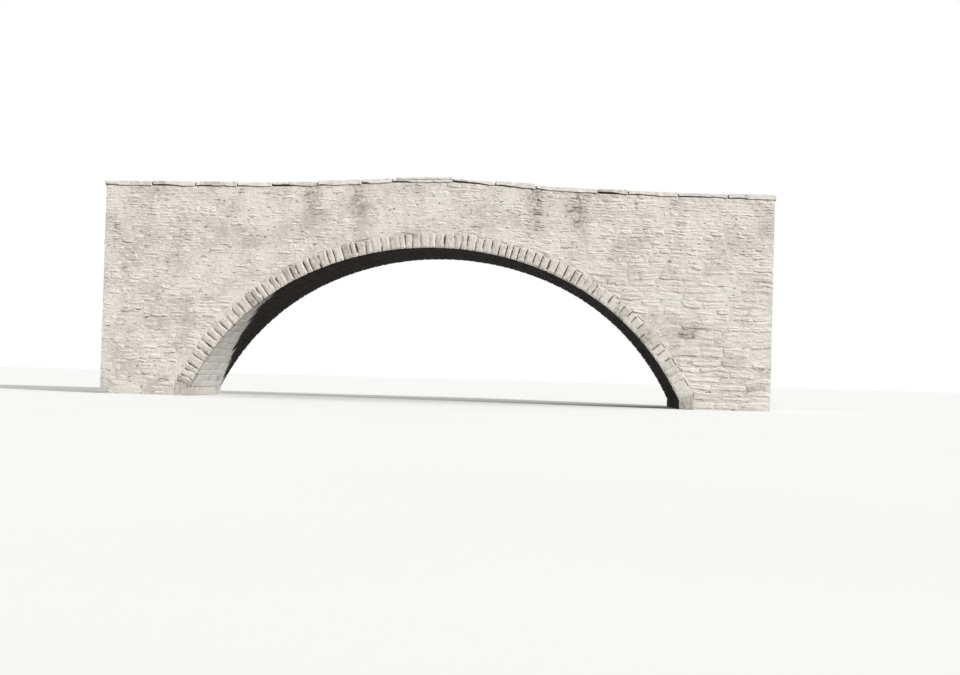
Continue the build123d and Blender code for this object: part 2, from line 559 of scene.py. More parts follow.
class Sheet:
    """Outlines on a surface, gathered into one mesh with the attributes that the node tree reads."""

    def __init__(self, name, upright_joints=1.0):
        self.name = name
        self.upright_joints = upright_joints
        self.points = []
        self.faces = []
        self.inward = []
        self.out = []
        self.rise = []
        self.tone = []

    def add(self, outline, put, out, rise, tone):
        """Add a place. put, out and rise give the point, the outward direction and the rise there."""
        if len(outline) < 3 or area(outline) < smallest_stone:
            return
        before = outline - np.roll(outline, 1, axis=0)
        after = np.roll(outline, -1, axis=0) - outline
        edge_lengths = np.maximum(np.hypot(*before.T), shortest_side)
        normals = np.column_stack((-before[:, 1], before[:, 0])) / edge_lengths[:, None]
        normals = normals + np.roll(normals, -1, axis=0)
        inward = normals * 2 / np.maximum(np.hypot(*normals.T), sharpest_turn)[:, None] ** 2
        room = min(1.0, area(outline) / edge_lengths.sum() / full_inset_width)
        first = len(self.points)
        for (u, v), (du, dv) in zip(outline, inward * room * (self.upright_joints, 1.0)):
            here = np.array(put(u, v))
            there = np.array(put(u + du * trial_step, v + dv * trial_step))
            self.points.append(here)
            self.inward.append((there - here) / trial_step)
            self.out.append(out(u, v))
            self.rise.append(rise(u, v))
        self.faces.append(list(range(first, len(self.points))))
        self.tone.append(tone)

    def mesh(self):
        """The places as a mesh."""
        mesh = bpy.data.meshes.new(self.name)
        mesh.from_pydata(self.points, [], self.faces)
        for name, kind, domain, field, values in (
            ("inward", "FLOAT_VECTOR", "POINT", "vector", self.inward),
            ("out", "FLOAT_VECTOR", "POINT", "vector", self.out),
            ("rise", "FLOAT", "POINT", "value", self.rise),
            ("tone", "FLOAT", "FACE", "value", self.tone),
        ):
            layer = mesh.attributes.new(name, kind, domain)
            layer.data.foreach_set(field, np.array(values, dtype=np.float32).ravel())
        return mesh


# %% [markdown]
# ## The tree that grows stones
#
# One tree does for every stone here, from a thin wall stone to a wedge half a metre deep. It shrinks
# each face by half a joint, pulls it out to its rise, bevels the edge, and pushes up a rough crown.
# Moving the new corners by the stored directions gives an even bevel, which scaling a long face
# about its middle would not. The places themselves, turned over, close the back of each stone.

# %% Stone tree
stone_sizes_of_tree = {
    "Joint": 0.010,
    "Bevel": 0.006,
    "Crown": 0.004,
    "Crown inset": 0.018,
    "Relief": 0.008,
    "Relief size": 0.09,
    "Seed": 1.0,
}
merge_distance = 0.0001


def stone_tree(name, bellied):
    """Build the tree. A bellied one also roughens the sides of the stone half way up."""
    group = bpy.data.node_groups.new(name, "GeometryNodeTree")
    group.interface.new_socket("Places", in_out="INPUT", socket_type="NodeSocketGeometry")
    for label, size in stone_sizes_of_tree.items():
        socket = group.interface.new_socket(label, in_out="INPUT", socket_type="NodeSocketFloat")
        socket.default_value = size
    group.interface.new_socket("Finish", in_out="INPUT", socket_type="NodeSocketMaterial")
    group.interface.new_socket("Stones", in_out="OUTPUT", socket_type="NodeSocketGeometry")

    tree = Tree(group)
    given = group.nodes.new("NodeGroupInput").outputs
    size = {label: Value(tree, given[label]) for label in stone_sizes_of_tree}

    def stored(label, kind):
        return tree.node("GeometryNodeInputNamedAttribute", {"data_type": kind}, {"Name": label})

    def vector(operation, first, second):
        settings = {"operation": operation}
        sockets = {0: first, ("Scale" if operation == "SCALE" else 1): second}
        return tree.node("ShaderNodeVectorMath", settings, sockets)

    inward = stored("inward", "FLOAT_VECTOR")
    out = stored("out", "FLOAT_VECTOR")
    rise = stored("rise", "FLOAT")

    def moved(stones, chosen, out_by, in_by):
        offset = vector("ADD", vector("SCALE", out, out_by), vector("SCALE", inward, in_by))
        sockets = {"Geometry": stones, "Offset": offset}
        if chosen:
            sockets["Selection"] = chosen
        return tree.node("GeometryNodeSetPosition", {}, sockets)

    def roughened(stones, chosen):
        sockets = {"Scale": 1.0 / size["Relief size"], "Detail": 2.0, "W": size["Seed"]}
        noise = tree.node("ShaderNodeTexNoise", {"noise_dimensions": "4D"}, sockets, output="Color")
        offset = vector("SCALE", vector("SUBTRACT", noise, (0.5, 0.5, 0.5)), size["Relief"])
        sockets = {"Geometry": stones, "Selection": chosen, "Offset": offset}
        return tree.node("GeometryNodeSetPosition", {}, sockets)

    def pulled(stones, chosen, out_by, in_by):
        """Extrude the chosen faces one by one, move their corners and roughen them."""
        sockets = {"Mesh": stones, "Offset Scale": 0.0, "Individual": True}
        if chosen:
            sockets["Selection"] = chosen
        stones = tree.node("GeometryNodeExtrudeMesh", {"mode": "FACES"}, sockets)
        top = stones.sibling("Top")
        return roughened(moved(stones, top, out_by, in_by), top), top

    places = moved(Value(tree, given["Places"]), None, 0.0, size["Joint"] * 0.5)
    stones, top = places, None
    if bellied:
        stones, top = pulled(stones, top, rise * 0.5, 0.0)
        stones, top = pulled(stones, top, rise * 0.5 - size["Bevel"], 0.0)
    else:
        stones, top = pulled(stones, top, rise - size["Bevel"], 0.0)
    stones, top = pulled(stones, top, size["Bevel"], size["Bevel"])
    stones, top = pulled(stones, top, size["Crown"], size["Crown inset"])

    backs = tree.node("GeometryNodeFlipFaces", {}, {"Mesh": places})
    joined = tree.node("GeometryNodeJoinGeometry", {}, {"Geometry": stones})
    tree.tree.links.new(backs.socket, joined.socket.node.inputs["Geometry"])
    closed = tree.node("GeometryNodeMergeByDistance", {}, {"Geometry": joined, "Distance": merge_distance})
    solid = tree.node("GeometryNodeRealizeInstances", {}, {"Geometry": closed})
    finish = Value(tree, given["Finish"])
    finished = tree.node("GeometryNodeSetMaterial", {}, {"Geometry": solid, "Material": finish})
    group.links.new(finished.socket, group.nodes.new("NodeGroupOutput").inputs["Stones"])
    return group


plain_stones = stone_tree("stones_from_places", bellied=False)
bellied_stones = stone_tree("bellied_stones_from_places", bellied=True)
print("stone trees of", len(plain_stones.nodes), "and", len(bellied_stones.nodes), "nodes")


def grown(sheet, tree, finish, slot, **sizes):
    """Grow the stones of a sheet into one plain mesh object that rides on the bridge."""
    piece = bpy.data.objects.new(sheet.name, sheet.mesh())
    bpy.context.scene.collection.objects.link(piece)
    modifier = piece.modifiers.new("stones", "NODES")
    modifier.node_group = tree
    sockets = {item.name: item.identifier for item in tree.interface.items_tree if item.in_out == "INPUT"}
    for label, size in sizes.items():
        modifier[sockets[label.replace("_", " ").capitalize()]] = size
    modifier[sockets["Finish"]] = finish
    graph = bpy.context.evaluated_depsgraph_get()
    grown_piece = piece.evaluated_get(graph)
    mesh = bpy.data.meshes.new_from_object(grown_piece, preserve_all_data_layers=True, depsgraph=graph)
    piece.modifiers.clear()
    piece.data = mesh
    mesh.name = sheet.name
    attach(piece, "root")
    triangles = sum(len(face.vertices) - 2 for face in mesh.polygons)
    corners = np.array(piece.bound_box).round(3)
    print(sheet.name, len(sheet.faces), "stones,", triangles, "triangles", corners.min(0), corners.max(0))
    return piece


# %% [markdown]
# Plain bars and blocks need no tree. They are drawn as rows of points, each row running round a
# section, and the faces follow from the order of the points.


# %% Bars and blocks
def closed_piece(name, bars, finish):
    """One mesh from several bars, each a list of rows of points that run round a section."""
    points = []
    faces = []
    for rows in bars:
        first, count = len(points), len(rows[0])
        last = first + count * (len(rows) - 1)
        points += [point for row in rows for point in row]
        faces += [range(first, first + count), range(last, last + count)]
        for start in range(first, last, count):
            for k in range(count):
                after = (k + 1) % count
                faces.append((start + k, start + after, start + count + after, start + count + k))
    mesh = bpy.data.meshes.new(name)
    mesh.from_pydata(points, [], [tuple(face) for face in faces])
    shell = bmesh.new()
    shell.from_mesh(mesh)
    bmesh.ops.recalc_face_normals(shell, faces=shell.faces)
    shell.to_mesh(mesh)
    shell.free()
    mesh.materials.append(finish)
    piece = bpy.data.objects.new(name, mesh)
    bpy.context.scene.collection.objects.link(piece)
    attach(piece, "root")
    print(name, len(bars), "bars,", len(mesh.polygons), "faces")


# %% [markdown]
# ## The lines of the bridge
#
# The wall stones end under the flags, and the flags follow a gentle hump. Both lines are read from
# the frame: the feet of each flag's ends give the seat, and the roadway's top gives the road.


# %% Seat and road lines
def flag_feet(node):
    """The two ends (x, z) of the line that a flag sits on, and the flag's thickness."""
    vertices = nodes[node].data.vertices
    corners = sorted({tuple(round(value, 5) for value in vertex.co) for vertex in vertices})
    left, right = corners[: len(corners) // 2], corners[len(corners) // 2 :]
    low_left = min(left, key=lambda corner: corner[2])
    low_right = min(right, key=lambda corner: corner[2])
    high_left = max(left, key=lambda corner: corner[2])
    thickness = hypot(high_left[0] - low_left[0], high_left[2] - low_left[2])
    return (low_left[0], low_left[2]), (low_right[0], low_right[2]), thickness


def flag_names(side):
    return sorted(name for name in nodes if name.startswith(side + "_coping_flag"))


def seat_line(side):
    feet = [foot for name in flag_names(side) for foot in flag_feet(name)[:2]]
    return np.array(feet).T


seat_lines = {side: seat_line(side) for side in ("front", "back")}
seat_crown = max(line[1].max() for line in seat_lines.values())

road_corners = {}
for vertex in nodes["roadway"].data.vertices:
    across = round(vertex.co.x, 4)
    road_corners[across] = max(road_corners.get(across, -1.0), vertex.co.z)
road_line = np.array(sorted(road_corners.items())).T


def seat_height(side, x):
    return float(np.interp(x, *seat_lines[side]))


def road_height(x):
    return float(np.interp(x, *road_line))


facings = {"front": -1, "back": 1, "left": -1, "right": 1}
half_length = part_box("front_parapet")[1][0]
wall_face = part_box("back_parapet")[1][1]
parapet_inner_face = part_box("back_parapet")[0][1]
print("seat at the crown", round(seat_crown, 3), "road at the crown", round(road_height(0), 3))

# %% [markdown]
# ## Laying out the ring
#
# The ring is a single row of long, narrow wedge stones, and the courses under the vault follow the
# same joints. The stones reach unevenly into the wall and into the vault. In a few places the mortar
# has fallen out and left a wide, dark joint. The ring is laid out before the walls are, because the
# wall stones are cut to fit it.

# %% Ring joints
ring_stone_widths = (0.2, 0.34)
ring_reaches = (-0.08, 0.04)
ring_stone_lengths = (0.3, 0.5)
ring_joint_slack = 0.012
open_joint_places = (-7.0, -4.3, -3.9, -2.6, 0.2, 0.9, 3.7, 5.8)
open_joint_widths = (0.014, 0.034)


def along_arch(angle):
    """Distance along the middle of the ring, from the crown to a direction from the vertical."""
    middle = ring_depth / 2
    crown_part = min(abs(angle), crown_half_angle) * (crown_radius + middle)
    haunch_part = max(abs(angle) - crown_half_angle, 0.0) * (haunch_radius + middle)
    return (crown_part + haunch_part) * (1 if angle > 0 else -1)


def angle_along(distance):
    """The direction from the vertical at a distance along the ring."""
    middle = ring_depth / 2
    crown_part = crown_half_angle * (crown_radius + middle)
    beyond = max(abs(distance) - crown_part, 0.0)
    angle = min(abs(distance), crown_part) / (crown_radius + middle) + beyond / (haunch_radius + middle)
    return angle * (1 if distance > 0 else -1)


class Wedge:
    """One stone of the ring: its place along the arch, its reach and its length into the vault."""

    def __init__(self, start, end, draw):
        self.start = start
        self.end = end
        self.reach = ring_depth + draw.uniform(*ring_reaches)
        self.length = draw.uniform(*ring_stone_lengths)


ring_draw = random.Random(41)
ring_end = along_arch(springing_angle)
ring_joints = cut_run(-ring_end, ring_end, ring_stone_widths, ring_draw)
wedges = {side: [Wedge(*pair, ring_draw) for pair in steps(ring_joints)] for side in ("front", "back")}
for place in open_joint_places:
    stone = min(wedges["front"], key=lambda wedge: abs(arch_point(angle_along(wedge.end), 0)[0] - place))
    stone.end -= ring_draw.uniform(*open_joint_widths)
print(len(wedges["front"]), "wedge stones over", round(2 * ring_end, 2), "m")

# %% [markdown]
# ## Wall stones
#
# The courses wander by a few centimetres, and the upper ones bend down with the hump until the last
# lies straight under the flags. Low down the stones are larger. The face of the model's wall is the
# mortar. Where it is sound it buries the edges of the stones, and some whole stones with them, so that
# only bellies come through. Where rain has washed it out, most of all to the right, the edges stand
# free and cast thin shadows. So a slow noise and a quick one set the height of each corner, and a few
# stones stand prouder than the rest. The ends of a stone lie deeper than its beds, so the upright
# joints hardly show, and a course reads as one long line.

# %% Tones and leaning faces
usual_tone, tone_spread = 0.72, 0.16
dark_share = 0.035
darker_by = (0.4, 0.7)
least_rise = 0.008


def soft_step(value, low, high):
    share = min(max((value - low) / (high - low), 0.0), 1.0)
    return share * share * (3 - 2 * share)


def stone_tone(draw):
    """A stone's own tone: most are alike, and a few are much darker."""
    tone = draw.gauss(usual_tone, tone_spread)
    if draw.random() < dark_share:
        tone -= draw.uniform(*darker_by)
    return min(max(tone, 0.0), 1.0)


def leaning(rise, outline, draw, slope):
    """A rule for the rise of a stone whose face leans a little."""
    middle = outline.mean(axis=0)
    across, up = draw.uniform(-slope, slope), draw.uniform(-slope, slope)
    return lambda u, v: max(rise + (u - middle[0]) * across + (v - middle[1]) * up, least_rise)


# %% Bending the courses
border_fade = 0.35
warp_along = 0.06
along_waves = 1.3
warp_up = 0.05
up_waves = ((0.7, 1.2), (2.1, 0.8), (4.5, 0.9))
warp_offset = Vector((0, 0, 40))


def warped(outline, put, border):
    """The outline after all the courses have been bent together, but not along the border."""
    left, right, bottom, top = border
    bent = []
    for u, v in outline:
        free = soft_step(min(u - left, right - u, v - bottom, top - v), 0.0, border_fade)
        place = Vector(put(u, v))
        along = noise.noise(place * along_waves + warp_offset)
        rising = sum(noise.noise(place * waves) * share for waves, share in up_waves)
        bent.append((u + warp_along * along * free, v + warp_up * rising * free))
    return np.array(bent)


# %% How far each stone stands out
wall_bed = 0.02
sound_rise = 0.003
washed_rise = 0.012
washed_waves = 0.9
washed_from, washed_full = -0.38, 0.27
washed_to_right = 0.036
rise_spread = (-0.01, 0.006)
face_lean = 0.04
proud_share = 0.05
proud_rises = (0.01, 0.02)
end_burial = 0.016
end_reach = 0.1
edge_swing = 0.016
edge_waves = 7.5


def rubble_rise(outline, put, draw):
    """A rule for the rise of a wall stone, which is low where the mortar buries its edge."""
    middle = Vector(put(*outline.mean(axis=0)))
    weather = noise.noise(middle * washed_waves) + washed_to_right * middle.x
    washed = soft_step(weather, washed_from, washed_full)
    rise = wall_bed + sound_rise + (washed_rise - sound_rise) * washed
    rise += draw.uniform(*rise_spread)
    if draw.random() < proud_share:
        rise += draw.uniform(*proud_rises)
    level = leaning(rise, outline, draw, face_lean)
    left, right = outline[:, 0].min(), outline[:, 0].max()

    def rise_at(u, v):
        buried = end_burial * (1 - soft_step(min(u - left, right - u), 0.0, end_reach))
        swing = edge_swing * noise.noise(Vector(put(u, v)) * edge_waves)
        return max(level(u, v) - buried + swing, least_rise)

    return rise_at


# %% Laying a face of rubble
joint_gap = 0.004
upright_joints = 0.7


def lay_rubble(sheet, places, put, out, draw, border, shape=lambda outline: outline):
    """Wear each place, bend and shape its outline and add it to the sheet."""
    for corners in places:
        outline = shape(warped(worn(corners, draw), put, border))
        if len(outline) > 2:
            sheet.add(outline, put, out, rubble_rise(outline, put, draw), stone_tone(draw))


def stones_beside(side, near, far):
    """The wedge stones of a face that lie between two places along the ring."""
    return [wedge for wedge in wedges[side] if wedge.end > near and wedge.start < far]


def cut_to_arch(outline, side):
    """What is left of a wall stone outside the ring, or beside the skewback below it."""
    middle_x, middle_z = outline.mean(axis=0)
    hand = 1 if middle_x > 0 else -1
    if arch_angle(abs(middle_x), middle_z) > springing_angle:
        foot_x, foot_z = arch_point(springing_angle, ring_depth)
        return trimmed(outline, (hand * (foot_x + joint_gap), 0), (hand, 0))
    run = [along_arch(arch_angle(x, z)) for x, z in outline]
    neighbours = stones_beside(side, min(run), max(run))
    reach = max([wedge.reach for wedge in neighbours], default=ring_depth) + joint_gap
    angle = arch_angle(middle_x, middle_z)
    x, z = arch_point(angle, reach)
    return trimmed(outline, (x, z), (sin(angle), cos(angle)))


# %% Front and back walls
bending_height = soffit_crown - 1.0
coarse_below = (4.2, 5.3)
coarse_right_of = (3.0, 5.0)
coarse_everywhere, coarser_right = 0.15, 0.6
rubble_sizes = {"joint": 0.008, "bevel": 0.007, "crown": 0.006, "crown_inset": 0.03}


def low_down(across, up):
    """How coarse the rubble is: fine near the top, and coarser near the ground, mostly to the right."""
    share = coarse_everywhere + coarser_right * soft_step(across, *coarse_right_of)
    return (1 - soft_step(up, *coarse_below)) * share


def wall_stones(side, seed):
    """The rubble of a whole face, from the ground line to the flags."""
    draw = random.Random(seed)
    sheet = Sheet(side + "_wall_stones", upright_joints)
    facing = facings[side]
    corner = half_length + washed_rise / 2

    def shape(outline):
        for point in outline:
            hump = seat_crown - seat_height(side, -facing * point[0])
            point[1] -= hump * soft_step(point[1], bending_height, seat_crown)
        outline = cut_to_arch(outline * (-facing, 1), side) * (-facing, 1)
        if len(outline) < 3:
            return outline
        middle = outline[:, 0].mean()
        return trimmed(outline, (middle, seat_height(side, -facing * middle) - joint_gap), (0, -1))

    def put(u, v):
        return -facing * u, facing * (wall_face - wall_bed), v

    def out(u, v):
        return 0, facing, 0

    places = rubble_places(-corner, corner, 0.0, seat_crown, draw, low_down)
    lay_rubble(sheet, places, put, out, draw, (-corner, corner, 0.0, seat_crown), shape)
    grown(sheet, plain_stones, rubble_stone, "rubble_masonry", **rubble_sizes)


wall_stones("front", 11)
wall_stones("back", 12)

# %% [markdown]
# The parapets show their inner faces to the road, and both ends of the bridge are plain faces of the
# same rubble. Their stones are laid in the same way, on the road line or straight up from the ground.


# %% Parapet faces and ends
cut_off_at_top = 0.02


def parapet_stones(side, seed):
    """The rubble between the road and the flags, on the face that looks at the road."""
    draw = random.Random(seed)
    sheet = Sheet(side + "_parapet_stones", upright_joints)
    facing = -facings[side]
    tallest = seat_crown - road_height(0)

    def put(u, v):
        x = -facing * u
        return x, -facing * (parapet_inner_face + wall_bed), road_height(x) + v

    def out(u, v):
        return 0, facing, 0

    def shape(outline):
        middle = -facing * outline[:, 0].mean()
        return trimmed(outline, (0, seat_height(side, middle) - road_height(middle) - joint_gap), (0, -1))

    places = rubble_places(-half_length, half_length, 0.0, tallest + cut_off_at_top, draw)
    lay_rubble(sheet, places, put, out, draw, (-half_length, half_length, 0.0, tallest), shape)
    grown(sheet, plain_stones, rubble_stone, "rubble_masonry", **rubble_sizes)


bed_at_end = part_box("roadway")[0][2]
seat_at_end = min(line[1].min() for line in seat_lines.values()) - joint_gap


def end_stones(side, seed):
    """The rubble of an end: full width up to the road bed, and a narrow strip at each parapet."""
    draw = random.Random(seed)
    sheet = Sheet(side + "_end_stones", upright_joints)
    facing = facings[side]

    def put(u, v):
        return facing * (half_length - wall_bed), facing * u, v

    def out(u, v):
        return facing, 0, 0

    places = rubble_places(-wall_face, wall_face, 0.0, bed_at_end, draw, low_down)
    for inner, outer in ((-wall_face, -parapet_inner_face), (parapet_inner_face, wall_face)):
        places += rubble_places(inner, outer, bed_at_end, seat_at_end, draw)
    lay_rubble(sheet, places, put, out, draw, (-wall_face, wall_face, 0.0, bed_at_end))
    grown(sheet, plain_stones, rubble_stone, "rubble_masonry", **rubble_sizes)


parapet_stones("front", 21)
parapet_stones("back", 22)
end_stones("left", 31)
end_stones("right", 32)

# %% [markdown]
# ## The arch
#
# Each wedge stone starts from its own depth in the vault and ends level with the wall stones, so its
# outline is drawn along the ring and pulled out by its full length. The stones were split, not sawn:
# their long edges are ragged, and each face swells out to its middle, so that the side towards the
# light is bright and the other is in shade. Only the edge over the vault was cut straight. Where a
# wedge stops short of its neighbours, the mason filled the place above it with a thin pinning stone.

# %% Ring stones
ring_face_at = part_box("back_arch_ring")[1][1]
ring_face_rise = (-0.016, 0.002)
ring_face_lean = 0.05
straight_below, straightened_to = 0.05, 0.3
ring_end_drop, ring_end_reach = 0.01, 0.16
ring_edge_swing, ring_edge_waves = 0.008, 9
beside_wedge = 0.05
smallest_pinning = 0.035
pinning_depth = 0.014
pinning_lean = 0.02
soffit_rise = (0.006, 0.012)


def ring_stones(side, seed):
    """The wedge stones of one face."""
    draw = random.Random(seed)
    sheet = Sheet(side + "_ring_stones")
    facing = facings[side]
    for wedge in wedges[side]:
        foot = -draw.uniform(*soffit_rise)
        slack = [draw.uniform(0, ring_joint_slack) for _ in range(4)]
        corners = [
            (wedge.start + slack[0], foot),
            (wedge.end - slack[1], foot),
            (wedge.end - slack[2], wedge.reach),
            (wedge.start + slack[3], wedge.reach),
        ]
        if facing > 0:
            corners = [(-u, v) for u, v in corners[1::-1] + corners[:1:-1]]

        def put(u, v):
            x, z = arch_point(angle_along(-facing * u), v)
            return x, facing * (ring_face_at - wedge.length), z

        def out(u, v):
            return 0, facing, 0

        outline = worn(corners, draw, chip=0.026, wander=0.018, spacing=0.075)
        low = outline[:, 1] < straight_below
        outline[low, 1] = foot + (outline[low, 1] - foot) * straightened_to
        level = leaning(wedge.length + draw.uniform(*ring_face_rise), outline, draw, ring_face_lean)

        def rise(u, v):
            buried = ring_end_drop * soft_step(v, wedge.reach - ring_end_reach, wedge.reach)
            swing = noise.noise(Vector((u * ring_edge_waves, v * ring_edge_waves, facing)))
            return level(u, v) - buried + ring_edge_swing * swing

        sheet.add(outline, put, out, rise, stone_tone(draw))
        beside = stones_beside(side, wedge.start - beside_wedge, wedge.end + beside_wedge)
        highest = max(other.reach for other in beside)
        if highest - wedge.reach > smallest_pinning:
            corners = [(u, wedge.reach if v < 0 else highest) for u, v in corners]
            rise = leaning(wedge.length - pinning_depth, outline, draw, pinning_lean)
            sheet.add(worn(corners, draw, chip=0.01, wander=0.006), put, out, rise, stone_tone(draw))
    sizes = {"joint": 0.007, "bevel": 0.006, "crown": 0.02, "crown_inset": 0.06}
    return grown(sheet, bellied_stones, dressed_stone, "dressed_stone", **sizes)


front_ring = ring_stones("front", 42)
back_ring = ring_stones("back", 43)

# %% [markdown]
# Between the wedge stones lies the mortar of the ring, a curved bar. Most of it is nearly level with
# the edges of the stones. Rain has washed pockets out of it, in runs of several joints and most of all
# towards their outer ends, so some joints are deep and dark and others hardly show; the sunk mortar
# is darker from soot and from painted shade. Round the ends themselves it is sound, and the ring fades
# into the wall.

# %% Mortar in the ring
ring_mortar_insets = (0.016, 0.056)
sound_ends = (0.09, 0.03)
washed_outwards = 0.3
washed_runs = 0.5
waves_of_runs, seed_of_runs = 0.4, 32.3
pocket_waves = 3.2
pocket_from, pocket_full = -0.23, 0.27
beside_joint = 0.05
ring_mortar_steps = 240
ring_mortar_levels = 9


def ring_core(side):
    """The mortar between the wedge stones of one face."""
    facing = facings[side]
    inner = facing * (ring_face_at - ring_stone_lengths[1])
    rows = []
    for step in range(ring_mortar_steps + 1):
        run = ring_end * (2 * step / ring_mortar_steps - 1)
        angle = angle_along(run)
        neighbours = stones_beside(side, run - beside_joint, run + beside_joint)
        reach = min([ring_depth] + [wedge.reach for wedge in neighbours])
        fading, sound = (reach - short for short in sound_ends)
        depths = [*np.linspace(wall_bed, fading, ring_mortar_levels - 2), sound, ring_depth]
        run_of_joints = noise.noise(Vector((arch_point(angle, 0)[0] * waves_of_runs, 0, seed_of_runs)))
        row = []
        for depth in depths:
            x, z = arch_point(angle, depth)
            more = washed_outwards * (depth / ring_depth - 0.5) + washed_runs * run_of_joints
            pocket = noise.noise(Vector((x, facing, z)) * pocket_waves) + more
            washed = soft_step(pocket, pocket_from, pocket_full)
            washed *= 1 - soft_step(depth, fading, sound)
            inset = ring_mortar_insets[0] + (ring_mortar_insets[1] - ring_mortar_insets[0]) * washed
            row.append((x, facing * (ring_face_at - inset), z))
        (low_x, _, low_z), (high_x, _, high_z) = row[0], row[-1]
        rows.append(row + [(high_x, inner, high_z), (low_x, inner, low_z)])
    closed_piece(side + "_ring_mortar", [rows], ring_mortar)


ring_core("front")
ring_core("back")
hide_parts("front_arch_ring")
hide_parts("back_arch_ring")

# %% [markdown]
# Seen from below, the vault is a ceiling of rough courses that run through from face to face, painted
# dark as shade but for its sunlit left foot. These stones stand only a finger's width out of their
# mortar, so the vault's own solid stays and becomes that mortar.

# %% Soffit stones
soffit_stone_lengths = (0.35, 0.8)
soffit_lean = 0.012


def soffit_stones(seed):
    """The courses under the vault, between the stones of the two rings."""
    draw = random.Random(seed)
    sheet = Sheet("soffit_stones")

    def put(u, v):
        x, z = arch_point(angle_along(u), wall_bed)
        return x, -v, z

    def out(u, v):
        angle = angle_along(u)
        return -sin(angle), 0, -cos(angle)

    for (start, end), front, back in zip(steps(ring_joints), wedges["front"], wedges["back"]):
        near, far = back.length - ring_face_at, ring_face_at - front.length
        for low, high in steps(cut_run(near, far, soffit_stone_lengths, draw)):
            corners = [(start, low), (end, low), (end, high), (start, high)]
            outline = worn(corners, draw, chip=0.02, wander=0.008, spacing=0.15)
            rise = leaning(wall_bed + draw.uniform(*soffit_rise), outline, draw, soffit_lean)
            sheet.add(outline, put, out, rise, stone_tone(draw))
    sizes = {"joint": 0.012, "bevel": 0.006, "crown": 0.002, "crown_inset": 0.03}
    grown(sheet, plain_stones, soffit_stone, "soffit_stone", **sizes)


soffit_stones(51)

# %% [markdown]
# The arch springs from skewbacks, low courses whose top slopes towards the vault. They are cut from
# the same stone as the ring, and they run through the bridge as a row of blocks.

# %% Skewback blocks
skewback_lengths = (0.55, 0.95)
skewback_joint = 0.014


def skewback_blocks(side, seed):
    """A row of blocks across the bridge, each pulled out to its neighbour."""
    draw = random.Random(seed)
    sheet = Sheet(side + "_skewback_stones")
    hand = facings[side]
    foot_x, foot_z = arch_point(springing_angle, ring_depth)
    spring_x, spring_z = arch_point(springing_angle, 0)
    corners = [(spring_x, 0.0), (foot_x, 0.0), (foot_x, foot_z), (spring_x, spring_z)]
    for near, far in steps(cut_run(-ring_face_at, ring_face_at, skewback_lengths, draw)):

        def put(u, v):
            return hand * u, hand * far, v

        def out(u, v):
            return 0, -hand, 0

        outline = worn(corners, draw, chip=0.012, wander=0.006, spacing=0.15)
        rise = leaning(far - near - skewback_joint, outline, draw, 0.0)
        sheet.add(outline, put, out, rise, stone_tone(draw))
    sizes = {"joint": 0.008, "bevel": 0.01, "crown": 0.002, "crown_inset": 0.03}
    piece = grown(sheet, bellied_stones, dressed_stone, "dressed_stone", **sizes)
    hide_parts(side + "_skewback")


skewback_blocks("left", 61)
skewback_blocks("right", 62)

# %% [markdown]
# ## Coping flags
#
# The flags are long and rough, and no two are alike. Each was laid on a wedge of mortar that has
# since washed out, most of all at the flag's left end, so a dark gap shows under it, up to where the
# flag touches the wall. Some flags have split along their bed into two thin slabs.

# %% Flags
flag_lifts = (0.03, 0.085)
least_gap = 0.004
bed_sink = 0.016
gap_swing, gap_waves = 0.042, 4.0
flag_lift_shares = (0.3, 1.4)
gap_spacing, wear_spacing = 20, 9
lift_fade = 0.75
flag_drop = 0.012
flag_wear = 0.022
wear_waves = (4.5, 3.0)
flag_tones = (0.55, 0.85)
split_share = 0.27
split_height, split_gap = 0.45, 0.016
split_swing, split_waves = 0.012, 2.3
split_shift = 0.12
bed_half_width, bed_height = 0.1, 0.07
end_half_width, end_sink, end_hold = 0.2, 0.045, 0.04


def flag_slabs(length, reach, thickness, draw):
    """The slabs of one flag: (outline, foot rule, top rule), heights counted from the seat."""
    corners = [(0, -reach), (length, -reach), (length, reach), (0, reach)]
    lift, lift_end = draw.uniform(*flag_lifts), length * draw.uniform(*flag_lift_shares)
    top, wave = thickness - draw.uniform(0, flag_drop), draw.uniform(0, 2 * pi)

    def gap(u, v):
        waves = gap_swing * noise.noise(Vector((u * gap_waves, v, gap_spacing * wave)))
        return max(lift * soft_step(lift_end - u, 0.0, lift_fade * lift_end) + waves, least_gap)

    def crown(u, v):
        place = Vector((u * wear_waves[0], v * wear_waves[1], wear_spacing * wave))
        return top - flag_wear * (1 + noise.noise(place)) / 2

    if draw.random() > split_share:
        return [(worn(corners, draw, chip=0.03, wander=0.022, spacing=0.13), gap, crown)]

    def bed(u, v):
        return split_height * thickness + split_swing * sin(split_waves * u + wave)

    def bed_above(u, v):
        return bed(u, v) + split_gap

    shift = draw.uniform(-split_shift, split_shift)
    moved = [(u + (shift if (u > 0) == (shift < 0) else 0), v) for u, v in corners]
    return [
        (worn(corners, draw, chip=0.03, wander=0.03, spacing=0.13), gap, bed),
        (worn(moved, draw, chip=0.04, wander=0.022, spacing=0.13), bed_above, crown),
    ]


